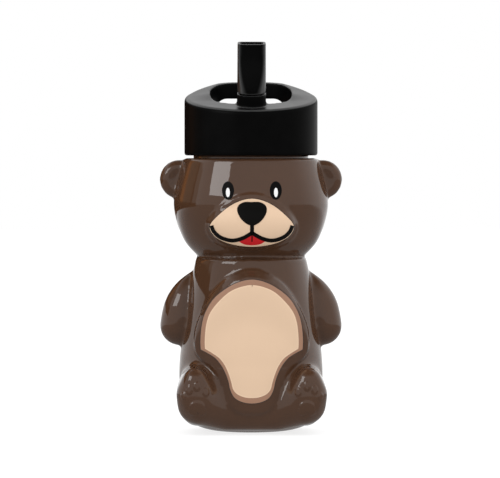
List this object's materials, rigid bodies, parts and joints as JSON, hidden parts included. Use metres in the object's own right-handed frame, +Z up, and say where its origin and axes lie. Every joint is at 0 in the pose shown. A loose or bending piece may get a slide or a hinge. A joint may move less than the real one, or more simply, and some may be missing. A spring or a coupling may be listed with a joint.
{
  "type": "bear-shaped water bottle",
  "caption": "Hollow bear-shaped drinking bottle with a screw lid, a carry arch, a flip-up spout and a straw; stands upright on its base.",
  "frame": {"origin": "centre of the base at the surface it stands on, on the neck axis", "axes": "+Z up along the neck axis, the bear faces -Y, +X to the right of someone facing the bear"},
  "size_m": [0.085, 0.0719, 0.1809],
  "materials": {
    "bear": "high gloss brown",
    "lid": "satin black",
    "insert": "satin black",
    "spout": "satin black",
    "silicone": "translucent white, matte",
    "straw": "translucent white"
  },
  "bodies": {
    "bottle": {"bear_bottle": "bear"},
    "seal_ring": {"lid_gasket": "silicone"},
    "lid": {"lid_shell": "lid", "lid_insert": "insert", "spout_seal": "silicone", "vent_valve": "silicone", "straw": "straw"},
    "spout": {"spout": "spout"}
  },
  "joints": [
    {"name": "lid_lift", "type": "slide", "parent": "bottle", "child": "seal_ring", "axis": [0, 0, 1], "range_m": [0, 0.145]},
    {"name": "lid_turn", "type": "hinge", "parent": "seal_ring", "child": "lid", "pos_m": [0, 0, 0.1423], "axis": [0, 0, 1], "range_deg": [0, 450]},
    {"name": "spout_flip", "type": "hinge", "parent": "lid", "child": "spout", "pos_m": [0, -0.0185, 0.1534], "axis": [-1, 0, 0], "range_deg": [0, 100]}
  ]
}
